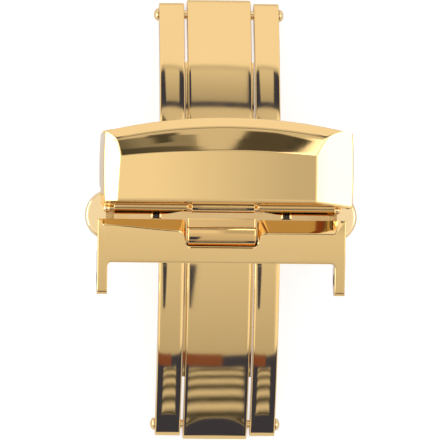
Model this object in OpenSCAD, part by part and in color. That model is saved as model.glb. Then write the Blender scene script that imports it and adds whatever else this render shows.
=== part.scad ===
// Butterfly deployant clasp for an 18 mm watch strap, closed, lying on its two hinge ends.
// X runs across the strap, Y along it, and Z points to the outer side. The origin is the
// bottom centre. The arch is drawn about an axis along X, below the origin.

/* [Arch] */
// Radius of the arch's outer face
arch_r = 35; // [34:0.5:38]
// Thickness of the strip and of the rails
plate_t = 1.3; // [1.1:0.05:1.4]
// Distance between the two hinge pins
hinge_span = 32.8; // [32:0.1:36]

/* [Strip and rails] */
// Width of the centre strip
strip_w = 5.1; // [4.8:0.1:5.2]
// How far the strip's rounded nose sits past the hinge pin
nose_reach = 0.67; // [0.5:0.01:0.8]
// How far a rail's rounded nose sits past the hinge pin
rail_reach = 0.39; // [0.2:0.01:0.5]
// Width of each outer rail
rail_w = 2; // [1.6:0.1:2.2]
// Gap between the strip and a rail
rail_gap = 0.25; // [0.2:0.05:0.4]
// Slope of a crowned face at its long edge, in degrees
crown_slope = 4; // [3:1:8]
// Distance from the clasp's middle to the inner end of a rail
rail_end_y = 2.6; // [2.6:0.1:3]

/* [Hinge pins] */
// Radius of a hinge pin
pin_r = 0.35; // [0.3:0.05:0.4]
// Radius of a pin's domed head
head_r = 0.5; // [0.45:0.05:0.55]
// How far a head stands out
head_h = 0.37; // [0.3:0.01:0.5]

/* [Latch box] */
// Half length of the latch box across the strap
box_half_x = 8.5; // [8.3:0.1:8.6]
// Half width of the latch box along the strap
box_half_y = 2.3; // [2.2:0.05:2.3]
// Height of the underside of the latch box
box_z0 = 4.75; // [4.7:0.05:4.9]
// Height of the lid's underside
lid_z0 = 7; // [6.95:0.05:7.05]
// Thickness of the lid
lid_t = 0.35; // [0.3:0.05:0.4]
// Radius of the centre roll
roll_r = 0.85; // [0.7:0.01:0.86]
// Half length of the centre roll
roll_half_x = 2.7; // [2.5:0.1:2.7]

/* [Push buttons] */
// Radius of a button's disc
disc_r = 2.03; // [1.8:0.01:2.1]
// Distance from the middle to a button's outer edge
button_reach = 10.75; // [10.6:0.05:11]
// Thickness of a button's disc
disc_t = 1.9; // [1.7:0.1:1.9]
// Travel of a button
travel = 0.6; // [0.4:0.05:0.6]

/* [Cover] */
// Sideways place of the cover's middle
cover_x = 0.35; // [0:0.05:0.4]
// Half width of the cover
cover_half_w = 9.98; // [9.9:0.02:10]
// Height of the cover's flat face
cover_top_z = 10.2; // [10:0.1:11]
// Place of the cover's straight lower edge
cover_y0 = 1.18; // [1.15:0.01:1.3]
// Place of the cover's arched upper edge
cover_y1 = 8; // [7.6:0.1:8.4]
// Width of the rolled upper facet
facet_w = 2.4; // [2:0.1:2.6]
// Wall thickness of the cover
wall = 0.7; // [0.5:0.05:0.7]

/* [Strap lugs] */
// Clear width between the lugs
lug_gap = 18; // [17.9:0.1:18.2]
// Thickness of a lug
lug_t = 0.8; // [0.7:0.05:0.9]
// Place of the lug tips
lug_tip_y = -6; // [-6.4:0.1:-5.8]
// Radius of the spring bar hole
spring_bar_r = 0.5; // [0.4:0.05:0.6]

/* [Hidden] */
$fn = 64;

gold = "gold";
dark_gold = "goldenrod";
bright_gold = "khaki";
steel = "silver";

eps = 0.01;
reach = 30;
fine = 256;

// Arch: the hinge pins sit at half thickness, and the noses touch the ground.
arch_in = arch_r - plate_t;
hinge_r = arch_r - plate_t / 2;
end_r = plate_t / 2;
hinge_a = asin(hinge_span / 2 / hinge_r);
nose_a = hinge_a + nose_reach / hinge_r * 180 / PI;
nose_r = end_r - 0.03;
rail_nose_r = end_r - 0.06;
nose_inset = 0.02;
pad_inset = 0.1;
rail_nose_a = hinge_a + rail_reach / hinge_r * 180 / PI;
hinge_z = nose_r + hinge_r * (cos(hinge_a) - cos(nose_a));
arch_z = hinge_z - hinge_r * cos(hinge_a);
bearing_gap = 0.03;

rail_x0 = strip_w / 2 + rail_gap;
rail_x1 = rail_x0 + rail_w;
rail_end_a = asin(rail_end_y / arch_r);

// Ledges along the strip's edges, which close the gaps under the folded rails.
ledge_a0 = 4.2;
ledge_a1 = 21.5;
ledge_z = 0.1;
ledge_t = 0.5;
ledge_gap = 0.05;

// Arms: the crosspieces clear the strip by this much, and the rails rise to meet them.
arm_gap = 0.1;
cross_t = 0.8;
cross_r = arch_r + arm_gap;
upper_cross_y = 6.4;
lower_cross_y = 3.4;

// Latch box: pockets for the slides and windows for the hooks.
lid_top = lid_z0 + lid_t;
seat_depth = 3;
slide_z0 = 6;
slide_h = 0.95;
slide_half_y = 0.8;
slide_gap = 0.05;
slide_x0 = 1.9;
slide_x1 = 9.6;
centre_wall = 0.5;
hook_x0 = 4.95;
hook_x1 = 5.35;
hook_y0 = 1;
hook_y1 = 1.3;
hook_z0 = 6.05;
barb_h = 0.2;
barb_tip_y = 0.84;
window_x0 = 4.8;
window_x1 = 5.5;
window_y1 = 1.95;
lower_window_y = 0.75;
stop_x = 7.3;
stop_r = 0.25;
spring_r = 0.34;
spring_wire = 0.14;
spring_x1 = 3.4;
rivet_r = 0.3;
rivet_y = 1.4;
rivet_top = 6.8;
rivet_head_r = 0.55;
rivet_head_h = 0.25;
rivet_seat = arch_in - sqrt(pow(arch_in, 2) - pow(rivet_y + rivet_head_r, 2));
lid_rivet_r = 0.22;
lid_rivet_x = 7.9;
lid_rivet_y = 1.75;
lid_rivet_z0 = 5.3;

// Centre roll: a low plate, then the roll.
roll_y = -1.36;
roll_z = 7.6;
roll_plate_y = 0.05;
roll_plate_t = 0.55;
roll_hole_r = 0.3;
roll_hole_z = 7.75;

// Buttons
button_y = 0.25;
disc_z = slide_z0 + slide_h / 2;
cap_x0 = 9.15;
cap_round_r = 2.27;

// Hook bar of the upper arm: rolled lips round the cover pin, and a bigger roll in the middle.
bar_z0 = 7.5;
bar_t = 0.6;
bar_top = bar_z0 + bar_t;
bar_y1 = 3.2;
lip_y = 0.8;
lip_z = 8;
lip_r = 0.45;
tab_r = 0.6;
tab_y = 0.85;
tab_z = 8.05;
tab_half_x = 2.7;
lip_x0 = 2.9;
lip_left_x1 = -8.4;
lip_right_x1 = 8.8;
cover_pin_r = 0.22;
cover_pin_x = 9.1;
ball_r = 0.33;

// Cover: a flat face, a rolled facet swept round an upright axis, and two plane side facets.
sweep_r = 42.8;
roll_s0 = 8;
roll_s1 = 40;
roll_rad = facet_w / (sin(roll_s1) - sin(roll_s0));
left_rim_z = 8.9;
right_rim_z = 8.4;
mouth_z = cover_top_z - roll_rad * (cos(roll_s0) - cos(roll_s1));
left_facet_w = 1.35;
right_facet_w = 3.2;
cover_x0 = cover_x - cover_half_w;
cover_x1 = cover_x + cover_half_w;
side_bulge_r = 42;
side_wall_y0 = 2.5;
side_wall_y1 = 6.7;
side_gap_z = 7.6;

// Strap bar and tongue: the prong slopes down until its tip lies just over the crosspiece.
bar_pin_r = 0.35;
bar_pin_y = 4;
bar_pin_z = 8.45;
tongue_w = 1.6;
tongue_barrel_r = 0.7;
prong_w = 1;
prong_t = 0.5;
prong_tip_y = 6.1;
prong_tip_gap = 0.05;
prong_tip_z = arch_z + sqrt(pow(cross_r + cross_t, 2) - pow(prong_tip_y, 2))
              + prong_t / 2 + prong_tip_gap;
prong_slope = atan2(prong_tip_z - bar_pin_z, prong_tip_y - bar_pin_y);
prong_len = norm([prong_tip_y - bar_pin_y, prong_tip_z - bar_pin_z]);

// Lug piece
lug_half_in = lug_gap / 2;
lug_half_out = lug_half_in + lug_t;
lug_top_r = arch_r + 2.6;
lug_back_y = -3.45;
lug_front_y = -0.05;
lug_front_z = 7.55;
lug_chamfer = 0.78;
lug_front_h = 0.42;
lug_chamfer_h = 0.44;
notch_half_x = 2.9;
notch_y = -2.28;
notch_corner_r = 0.4;
lug_end_r = 1.25;
lug_corner_y = -5.85;
lug_axis_y = lug_tip_y + lug_end_r;
lug_axis_r = arch_r + 1.35;
lug_axis_z = arch_z + sqrt(pow(lug_axis_r, 2) - pow(lug_axis_y, 2));
ear_y = 0;
ear_z1 = 8.05;
plate_x = 6.3;
plate_y0 = -3.2;
plate_y1 = -0.85;
plate_z1 = 7.8;

// Ring about the arch's axis, from radius r0 to r1, x0 to x1 and angle a0 to a1 towards +Y.
module ring(r0, r1, x0, x1, a0, a1)
    translate([0, 0, arch_z]) rotate([0, 90, 0]) rotate([0, 0, 180 - a1])
        rotate_extrude(angle = a1 - a0)
            translate([r0, x0]) square([r1 - r0, x1 - x0]);

// The same ring with its outer face crowned across X
module crowned_ring(x0, x1, a0, a1, thick = plate_t) {
    half = (x1 - x0) / 2;
    crown = half / sin(crown_slope);
    translate([0, 0, arch_z]) rotate([0, 90, 0]) rotate([0, 0, 180 - a1])
        rotate_extrude(angle = a1 - a0)
            intersection() {
                translate([arch_r - thick, x0]) square([thick, x1 - x0]);
                translate([arch_r - crown, (x0 + x1) / 2]) circle(crown, $fn = fine);
            }
}

// Cylinder along X
module rod(r, x0, x1, y, z)
    translate([x0, y, z]) rotate([0, 90, 0]) cylinder(r = r, h = x1 - x0);

// Box from one corner to the other
module block(x0, x1, y0, y1, z0, z1)
    translate([x0, y0, z0]) cube([x1 - x0, y1 - y0, z1 - z0]);

// Outline in the YZ plane, extruded from x0 to x1
module slab(x0, x1)
    translate([x0, 0, 0]) rotate([90, 0, 90]) linear_extrude(x1 - x0) children();

// The children on the right and their mirror image on the left
module both_sides() {
    children();
    mirror([1, 0, 0]) children();
}

// Base
module base_strip() color(gold)
    difference() {
        union() {
            crowned_ring(-strip_w / 2, strip_w / 2, -nose_a, nose_a);
            for (s = [-1, 1])
                rod(nose_r, -strip_w / 2, strip_w / 2, s * hinge_r * sin(nose_a),
                    arch_z + hinge_r * cos(nose_a));
            both_sides()
                for (a = [ledge_a0, -ledge_a1])
                    ring(arch_in + ledge_z, arch_in + ledge_z + ledge_t, strip_w / 2 - ledge_gap,
                         rail_x0 - ledge_gap, a, a + ledge_a1 - ledge_a0);
        }
        for (s = [-1, 1])
            rod(pin_r, -strip_w, strip_w, s * hinge_span / 2, hinge_z);
        for (s = [-1, 1])
            translate([0, s * rivet_y, box_z0 - plate_t]) cylinder(r = rivet_r, h = 2 * plate_t);
    }

// A pin through both rails and the strip, with a domed head outside each rail
module hinge_pin(y) {
    dome_r = (head_r * head_r + head_h * head_h) / (2 * head_h);
    shaft = rail_x1 + bearing_gap;
    translate([0, y, hinge_z]) rotate([0, 90, 0])
        rotate_extrude() {
            translate([0, -shaft]) square([pin_r, 2 * shaft]);
            for (s = [-1, 1])
                intersection() {
                    translate([0, s > 0 ? shaft : -shaft - head_h]) square([head_r, head_h]);
                    translate([0, s * (shaft + head_h - dome_r)]) circle(dome_r);
                }
        }
}

module top_hinge_pin() color(bright_gold) hinge_pin(hinge_span / 2);

module bottom_hinge_pin() color(bright_gold) hinge_pin(-hinge_span / 2);

// The box seats on the strip, holds both slides and their springs, and is closed by the lid.
module latch_housing() color(dark_gold)
    difference() {
        block(-box_half_x, box_half_x, -box_half_y, box_half_y, box_z0, lid_z0);
        crowned_ring(-strip_w / 2, strip_w / 2, -hinge_a, hinge_a, seat_depth);
        both_sides() {
            block(centre_wall, reach, -slide_half_y - slide_gap, slide_half_y + slide_gap,
                  slide_z0 - slide_gap, reach);
            block(window_x0, window_x1, -window_y1, window_y1, slide_z0 - slide_gap, reach);
            translate([stop_x, 0, lid_rivet_z0]) cylinder(r = stop_r, h = reach);
            for (s = [-1, 1])
                translate([lid_rivet_x, s * lid_rivet_y, lid_rivet_z0])
                    cylinder(r = lid_rivet_r, h = reach);
        }
        for (s = [-1, 1])
            translate([0, s * rivet_y, 0]) cylinder(r = rivet_r, h = rivet_top);
    }

module housing_lid() color(gold)
    difference() {
        block(-box_half_x, box_half_x, -box_half_y, box_half_y, lid_z0, lid_top);
        both_sides() {
            block(window_x0, window_x1, 0, window_y1, 0, reach);
            block(window_x0, window_x1, -window_y1, -lower_window_y, 0, reach);
            for (s = [-1, 1])
                translate([lid_rivet_x, s * lid_rivet_y, 0]) cylinder(r = lid_rivet_r, h = reach);
        }
    }

module lid_rivets() color(bright_gold)
    both_sides()
        for (s = [-1, 1])
            translate([lid_rivet_x, s * lid_rivet_y, lid_rivet_z0])
                cylinder(r = lid_rivet_r, h = lid_top - lid_rivet_z0);

// Two rivets from under the strip up into the box's centre wall
module housing_rivets() color(bright_gold) {
    strip_under = arch_z + arch_in;
    dome_r = (pow(rivet_head_r, 2) + pow(rivet_head_h, 2)) / (2 * rivet_head_h);
    for (s = [-1, 1])
        translate([0, s * rivet_y, 0]) {
            translate([0, 0, strip_under - rivet_head_h / 2])
                cylinder(r = rivet_r, h = rivet_top - strip_under + rivet_head_h / 2);
            intersection() {
                translate([0, 0, strip_under - rivet_head_h - rivet_seat])
                    cylinder(r = rivet_head_r, h = rivet_head_h);
                translate([0, 0, strip_under - rivet_head_h - rivet_seat + dome_r])
                    sphere(dome_r);
            }
        }
}

module centre_roll() color(bright_gold)
    union() {
        block(-roll_half_x, roll_half_x, roll_y, roll_plate_y, lid_top, lid_top + roll_plate_t);
        difference() {
            rod(roll_r, -roll_half_x, roll_half_x, roll_y, roll_z);
            block(-reach, reach, -reach, reach, 0, lid_top);
            rod(roll_hole_r, -reach, reach, roll_y, roll_hole_z);
        }
    }

module stop_pins() color(steel)
    both_sides()
        translate([stop_x, 0, lid_rivet_z0]) cylinder(r = stop_r, h = lid_z0 - lid_rivet_z0);

// Push buttons, drawn for the right-hand side
module push_slide()
    difference() {
        block(slide_x0, slide_x1, -slide_half_y, slide_half_y, slide_z0, slide_z0 + slide_h);
        rod(spring_r + slide_gap, 0, spring_x1, 0, disc_z);
        for (x = [stop_x, stop_x + travel])
            translate([x, 0, 0]) cylinder(r = stop_r + slide_gap, h = reach);
        block(stop_x, stop_x + travel, -stop_r - slide_gap, stop_r + slide_gap, 0, reach);
    }

module button_cap()
    difference() {
        intersection() {
            translate([button_reach - disc_r, button_y, disc_z - disc_t / 2])
                cylinder(r = disc_r, h = disc_t);
            translate([button_reach - disc_r, button_y, disc_z]) sphere(cap_round_r);
            block(cap_x0, reach, -reach, reach, 0, reach);
        }
        block(0, slide_x1, -slide_half_y, slide_half_y, slide_z0, slide_z0 + slide_h);
    }

module return_spring()
    difference() {
        rod(spring_r, centre_wall, spring_x1, 0, disc_z);
        rod(spring_r - spring_wire, 0, reach, 0, disc_z);
    }

module right_push_slide() color(steel) push_slide();

module left_push_slide() color(steel) mirror([1, 0, 0]) push_slide();

module right_button_cap() color(gold) button_cap();

module left_button_cap() color(gold) mirror([1, 0, 0]) button_cap();

module right_return_spring() color(steel) return_spring();

module left_return_spring() color(steel) mirror([1, 0, 0]) return_spring();

// A rail on the +X side, from a hinge at +Y to its inner end, with a pad up to the crosspiece
module rail(pad_y)
    difference() {
        union() {
            crowned_ring(rail_x0, rail_x1, rail_end_a, rail_nose_a);
            rod(rail_nose_r, rail_x0 + nose_inset, rail_x1 - nose_inset,
                hinge_r * sin(rail_nose_a), arch_z + hinge_r * cos(rail_nose_a));
            ring(hinge_r, cross_r, rail_x0 + nose_inset, rail_x1 - nose_inset,
                 rail_end_a + pad_inset, asin(pad_y / arch_r));
        }
        rod(pin_r + bearing_gap, 0, reach, hinge_span / 2, hinge_z);
    }

module upper_right_rail() color(gold) rail(upper_cross_y);

module upper_left_rail() color(gold) mirror([1, 0, 0]) rail(upper_cross_y);

module lower_right_rail() color(gold) mirror([0, 1, 0]) rail(lower_cross_y);

module lower_left_rail() color(gold) mirror([1, 0, 0]) mirror([0, 1, 0]) rail(lower_cross_y);

// Upper arm
module upper_crosspiece() color(dark_gold)
    intersection() {
        ring(cross_r, cross_r + cross_t, cover_x0, cover_x1, rail_end_a,
             asin(upper_cross_y / arch_r));
        linear_extrude(reach) cover_outline(wall);
    }

// A hook blade with a shallow barb towards the slide, drawn on the upper right
module hook() {
    block(hook_x0, hook_x1, hook_y0, hook_y1, hook_z0, bar_z0 + eps);
    block(hook_x0, hook_x1, barb_tip_y, hook_y0 + eps, hook_z0, hook_z0 + barb_h);
}

module hook_bar() color(dark_gold)
    difference() {
        union() {
            block(lip_left_x1, lip_right_x1, lip_y, bar_y1, bar_z0, bar_top);
            difference() {
                block(lip_left_x1, lip_right_x1, rail_end_y, bar_y1, box_z0, bar_top);
                ring(0, cross_r + cross_t, -reach, reach, -hinge_a, hinge_a);
            }
            rod(lip_r, lip_x0, lip_right_x1, lip_y, lip_z);
            rod(lip_r, lip_left_x1, -lip_x0, lip_y, lip_z);
            rod(tab_r, -tab_half_x, tab_half_x, tab_y, tab_z);
            both_sides() hook();
        }
        rod(cover_pin_r, -reach, reach, lip_y, lip_z);
        block(-lip_x0, -tab_half_x, -reach, cover_y0, 0, reach);
        block(tab_half_x, lip_x0, -reach, cover_y0, 0, reach);
        block(-reach, reach, cover_y0, reach, bar_top, reach);
    }

module cover_pin() color(bright_gold) {
    rod(cover_pin_r, -cover_pin_x, cover_pin_x, lip_y, lip_z);
    for (s = [-1, 1])
        translate([s * cover_pin_x, lip_y, lip_z]) sphere(ball_r);
}

// Solid outer form of the cover, or of its hollow when inset is the wall thickness
module cover_form(inset) {
    face_r = sweep_r - facet_w;
    top = cover_top_z - inset;
    intersection() {
        translate([cover_x, cover_y1 - sweep_r, 0])
            rotate_extrude($fn = fine)
                intersection() {
                    square([sweep_r + eps, top]);
                    union() {
                        square([face_r, top]);
                        translate([face_r - roll_rad * sin(roll_s0),
                                   cover_top_z - roll_rad * cos(roll_s0)])
                            circle(roll_rad - inset, $fn = fine);
                    }
                }
        side_planes(inset);
        linear_extrude(reach) cover_outline(inset);
    }
}

// Plan outline of the cover: straight ends, with both sides bulged a little
module cover_outline(inset)
    intersection() {
        translate([-reach, cover_y0 + (inset > 0 ? wall : 0)]) square(2 * reach);
        translate([cover_x1 - side_bulge_r - inset, (cover_y0 + side_wall_y1) / 2])
            circle(side_bulge_r, $fn = fine);
        translate([cover_x0 + side_bulge_r + inset, (cover_y0 + side_wall_y1) / 2])
            circle(side_bulge_r, $fn = fine);
    }

// Everything under the two plane side facets, each moved inward by the inset
module side_planes(inset) {
    left_tilt = atan2(cover_top_z - left_rim_z, left_facet_w);
    right_tilt = atan2(cover_top_z - right_rim_z, right_facet_w);
    top = cover_top_z - inset;
    left_x = cover_x0 + inset - eps;
    right_x = cover_x1 - inset + eps;
    rotate([90, 0, 0]) translate([0, 0, -reach])
        linear_extrude(2 * reach)
            polygon([[left_x, 0],
                     [left_x, left_rim_z + inset * (tan(left_tilt) - 1 / cos(left_tilt))],
                     [cover_x0 + left_facet_w + inset * tan(left_tilt / 2), top],
                     [cover_x1 - right_facet_w - inset * tan(right_tilt / 2), top],
                     [right_x, right_rim_z + inset * (tan(right_tilt) - 1 / cos(right_tilt))],
                     [right_x, 0]]);
}

module cover_plate() color(bright_gold)
    difference() {
        cover_form(0);
        cover_form(wall);
        // mouth for the strap, and the open underside
        block(-reach, reach, side_wall_y1, reach, 0, mouth_z);
        block(-reach, reach, -reach, side_wall_y0, 0, side_gap_z);
        block(cover_x0 + wall, cover_x1 - wall, -reach, bar_y1, 0, bar_top);
        ring(0, cross_r, -reach, reach, -hinge_a, hinge_a);
    }

module strap_bar() color(steel)
    intersection() {
        rod(bar_pin_r, -reach, reach, bar_pin_y, bar_pin_z);
        cover_form(wall);
    }

module strap_tongue() color(bright_gold)
    difference() {
        union() {
            rod(tongue_barrel_r, -tongue_w / 2, tongue_w / 2, bar_pin_y, bar_pin_z);
            translate([0, bar_pin_y, bar_pin_z]) rotate([prong_slope, 0, 0]) {
                block(-prong_w / 2, prong_w / 2, 0, prong_len, -prong_t / 2, prong_t / 2);
                rod(prong_t / 2, -prong_w / 2, prong_w / 2, prong_len, 0);
            }
        }
        rod(bar_pin_r + bearing_gap, -reach, reach, bar_pin_y, bar_pin_z);
    }

// Lower arm
module lower_crosspiece() color(dark_gold)
    ring(cross_r, cross_r + cross_t, -lug_half_in, lug_half_in,
         -asin(lower_cross_y / arch_r), -rail_end_a);

module lower_hook_plate() color(steel)
    union() {
        difference() {
            block(-plate_x, plate_x, plate_y0, plate_y1, bar_z0, plate_z1);
            block(-notch_half_x, notch_half_x, notch_y, reach, 0, reach);
        }
        both_sides() mirror([0, 1, 0]) hook();
    }

// Side view of the bridge between the lugs
module bridge_outline()
    difference() {
        intersection() {
            polygon([[lug_front_y, lug_front_z],
                     [lug_front_y, lug_front_z + lug_front_h],
                     [lug_front_y - lug_chamfer, lug_front_z + lug_front_h + lug_chamfer_h],
                     [lug_front_y - lug_chamfer, reach],
                     [lug_back_y, reach],
                     [lug_back_y, 0],
                     [-rail_end_y, 0],
                     [-rail_end_y, lug_front_z]]);
            translate([0, arch_z]) circle(lug_top_r, $fn = fine);
        }
        translate([0, arch_z]) circle(cross_r + cross_t, $fn = fine);
    }

// Side view of a lug
module lug_outline()
    union() {
        translate([lug_axis_y, lug_axis_z]) circle(lug_end_r);
        difference() {
            intersection() {
                translate([lug_axis_y, 0]) square([-rail_end_y - lug_axis_y, reach]);
                translate([0, arch_z]) circle(lug_top_r, $fn = fine);
            }
            translate([0, arch_z]) circle(cross_r, $fn = fine);
        }
        intersection() {
            translate([lug_corner_y, lug_axis_z]) square([lug_axis_y - lug_corner_y + eps, reach]);
            translate([0, arch_z]) circle(lug_top_r, $fn = fine);
        }
    }

module lug_piece() color(gold)
    difference() {
        union() {
            slab(-lug_half_out, lug_half_out) bridge_outline();
            both_sides() {
                slab(lug_half_in, lug_half_out) lug_outline();
                block(lug_half_in, lug_half_out, lug_back_y, ear_y, side_gap_z, ear_z1);
            }
        }
        block(-notch_half_x, notch_half_x, notch_y + notch_corner_r, reach, 0, reach);
        block(-notch_half_x + notch_corner_r, notch_half_x - notch_corner_r,
              notch_y, reach, 0, reach);
        both_sides()
            translate([notch_half_x - notch_corner_r, notch_y + notch_corner_r, 0])
                cylinder(r = notch_corner_r, h = reach);
        block(-plate_x, plate_x, plate_y0, plate_y1, 0, plate_z1);
        rod(spring_bar_r, -reach, reach, lug_axis_y, lug_axis_z);
    }

base_strip();
top_hinge_pin();
bottom_hinge_pin();
latch_housing();
housing_lid();
lid_rivets();
housing_rivets();
centre_roll();
stop_pins();
left_push_slide();
left_button_cap();
left_return_spring();
right_push_slide();
right_button_cap();
right_return_spring();
upper_left_rail();
upper_right_rail();
upper_crosspiece();
hook_bar();
cover_pin();
cover_plate();
strap_bar();
strap_tongue();
lower_left_rail();
lower_right_rail();
lower_crosspiece();
lower_hook_plate();
lug_piece();
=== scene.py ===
from math import acos, asin, cos, pi, radians, sin, sqrt, tan

import bmesh
import bpy
import numpy as np
from mathutils import Matrix


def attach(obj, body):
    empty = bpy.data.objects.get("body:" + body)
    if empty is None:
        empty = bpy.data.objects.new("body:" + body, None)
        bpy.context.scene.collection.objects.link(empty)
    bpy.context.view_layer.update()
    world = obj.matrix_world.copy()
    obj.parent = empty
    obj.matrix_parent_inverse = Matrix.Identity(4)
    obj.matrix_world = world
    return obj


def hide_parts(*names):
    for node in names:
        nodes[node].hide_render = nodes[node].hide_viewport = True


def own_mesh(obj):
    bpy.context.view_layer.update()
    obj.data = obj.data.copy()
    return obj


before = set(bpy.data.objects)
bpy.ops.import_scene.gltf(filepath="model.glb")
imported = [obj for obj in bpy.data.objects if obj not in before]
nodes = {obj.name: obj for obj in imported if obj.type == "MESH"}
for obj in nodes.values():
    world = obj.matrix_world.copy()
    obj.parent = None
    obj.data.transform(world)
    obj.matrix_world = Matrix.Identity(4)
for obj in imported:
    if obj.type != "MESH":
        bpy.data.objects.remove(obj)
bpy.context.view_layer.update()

# Base strip: the arched centre strip that everything else is fixed to or folds over.
# Stamped and bent from thick plate, its upper face slightly crowned and its long edges
# rounded by polishing, then gold plated. Both ends are rounded noses round the hinge pins.
MM = 0.001
ARCH_R = 35.0
PLATE = 1.3
MID_R = ARCH_R - PLATE / 2
HINGE_Y = 16.4
HINGE_A = asin(HINGE_Y / MID_R)
STRIP_TIP, STRIP_PAST, STRIP_TAPER = 0.62, 0.67, 2.5
STRIP_NOSE_A = HINGE_A + STRIP_PAST / MID_R
HINGE_Z = STRIP_TIP + MID_R * (cos(HINGE_A) - cos(STRIP_NOSE_A))
ARCH_Z = HINGE_Z - MID_R * cos(HINGE_A)
STRIP_HALF = 2.55
CROWN = radians(4)
LONG_EDGE = 0.09


def quads(rows, cols, wrap_rows=False, wrap_cols=False):
    """Quads of a grid of points that is numbered row by row. A wrapped direction joins its
    last line of points to its first."""
    r = np.arange(rows if wrap_rows else rows - 1)[:, None]
    c = np.arange(cols if wrap_cols else cols - 1)[None, :]
    r2, c2 = (r + 1) % rows, (c + 1) % cols
    corners = [r * cols + c, r * cols + c2, r2 * cols + c2, r2 * cols + c]
    return np.stack(np.broadcast_arrays(*corners), -1).reshape(-1, 4).tolist()


def capped(co):
    """A closed shell from a grid of points, a rows x columns x 3 array. Its rows wrap round, and
    its first and its last column are closed by one flat face each."""
    rows, cols = co.shape[:2]
    caps = np.arange(rows) * cols + np.array([[0], [cols - 1]])
    return co, quads(rows, cols, wrap_rows=True) + caps.tolist()


def clean(mesh, merge=2e-8, flatten=False):
    """Merges doubled points, turns the faces outward, and before that joins the triangles of
    each flat face where flatten is set."""
    bm = bmesh.new()
    bm.from_mesh(mesh)
    bmesh.ops.remove_doubles(bm, verts=bm.verts, dist=merge)
    if flatten:
        bmesh.ops.dissolve_limit(bm, angle_limit=radians(1), verts=bm.verts, edges=bm.edges)
    bmesh.ops.recalc_face_normals(bm, faces=bm.faces)
    bm.to_mesh(mesh)
    bm.free()


def mesh_of(name, shells):
    """One mesh from closed shells, each (points in mm as an array, faces)."""
    points, faces, start = [], [], 0
    for co, fs in shells:
        points.append(np.asarray(co, float).reshape(-1, 3))
        faces += [[i + start for i in f] for f in fs]
        start += len(points[-1])
    mesh = bpy.data.meshes.new(name)
    mesh.from_pydata((np.concatenate(points) * MM).tolist(), [], faces)
    clean(mesh)
    return mesh


def added(name, data):
    """A new object of the scene with the given data."""
    obj = bpy.data.objects.new(name, data)
    bpy.context.scene.collection.objects.link(obj)
    return obj


def placed(name, mesh, material, body, stands_for, sharp, bevel=0):
    """A mesh as one object of the scene: smooth between its sharp edges, with a small bevel
    where one is wanted, and with flat faces kept flat by area-weighted normals."""
    mesh.shade_smooth()
    mesh.set_sharp_from_angle(angle=radians(sharp))
    mesh.materials.clear()
    mesh.materials.append(material)
    obj = added(name, mesh)
    if bevel:
        edge = obj.modifiers.new("broken_edge", "BEVEL")
        edge.width = bevel * MM
        edge.segments = 3
        edge.limit_method = "ANGLE"
        edge.angle_limit = radians(40)
    obj.modifiers.new("flat_faces", "WEIGHTED_NORMAL").keep_sharp = True
    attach(obj, body)
    if stands_for:
        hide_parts(*stands_for)
    return obj


def piece(name, shells, material, body, stands_for=(), sharp=38):
    """One object from closed shells."""
    return placed(name, mesh_of(name, shells), material, body, stands_for, sharp)


def outward(loop):
    """Unit normals of a closed plane loop of points, an N x 2 array, away from its inside:
    the loop's central differences turned a quarter, towards the outside of its signed area."""
    step = np.roll(loop, -1, 0) - np.roll(loop, 1, 0)
    n = np.stack([step[:, 1], -step[:, 0]], -1)
    n /= np.maximum(np.linalg.norm(n, axis=1, keepdims=True), 1e-9)
    x, y = loop.T
    area = np.sum(x * np.roll(y, -1) - y * np.roll(x, -1))
    return n * np.sign(area)


def rounded_sections(x0, x1, edge, inner=2, steps=6):
    """Stations along X and how far the outline is drawn in at each: a quarter circle of radius
    edge at both ends, x = x0 + edge (1 - cos t) and inset = edge (1 - sin t)."""
    t = np.linspace(0, pi / 2, steps)
    x = x0 + edge * (1 - np.cos(t))
    inset = edge * (1 - np.sin(t))
    middle = np.linspace(x0 + edge, x1 - edge, inner)[1:-1]
    xs = np.concatenate([x, middle, (x0 + x1) - x[::-1]])
    return xs, np.concatenate([inset, 0 * middle, inset[::-1]])


def side_prism(loop, x0, x1, edge, inner=2, weight=None, slope=CROWN):
    """A closed side view in the YZ plane, carried along X with rounded ends and flat caps. Each
    loop point sinks by its weight, a share, of a crown: a circle with the given slope at x0
    and x1."""
    xs, inset = rounded_sections(x0, x1, edge, inner)
    sink = np.broadcast_to(inset, (len(loop), len(xs)))
    if weight is not None:
        crown_r = (x1 - x0) / 2 / sin(slope)
        sink = sink + weight[:, None] * (crown_r - np.sqrt(crown_r**2 - (xs - (x0 + x1) / 2) ** 2))
    co = np.empty((len(loop), len(xs), 3))
    co[..., 0] = xs
    co[..., 1:] = loop[:, None] - outward(loop)[:, None] * sink[..., None]
    return capped(co)


def arc(cy, cz, r, a0, a1, n):
    """Points on a circle in the YZ plane, with angles measured from +Z towards +Y."""
    a = np.linspace(a0, a1, n)
    return np.stack([cy + r * np.sin(a), cz + r * np.cos(a)], -1)


def smooth(t):
    """Eases a share from 0 to 1."""
    t = np.clip(t, 0, 1)
    return t * t * (3 - 2 * t)


def taper(a0, a1, n, nose_a, tip, span):
    """Half thickness of a bent plate at n angles: it narrows to tip at the angle of its nose,
    within a span in degrees. Also each point's share of the crown, which ends there too."""
    t = np.clip((nose_a - np.abs(np.linspace(a0, a1, n))) / radians(span), 0, 1)
    return tip + (PLATE / 2 - tip) * smooth(t), t


def plate_nose(nose_a, tip, n):
    """The half circle round a bent plate's end, without its first and last point."""
    return arc(MID_R * sin(nose_a), ARCH_Z + MID_R * cos(nose_a), tip,
               nose_a, nose_a + pi, n)[1:-1]


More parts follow.
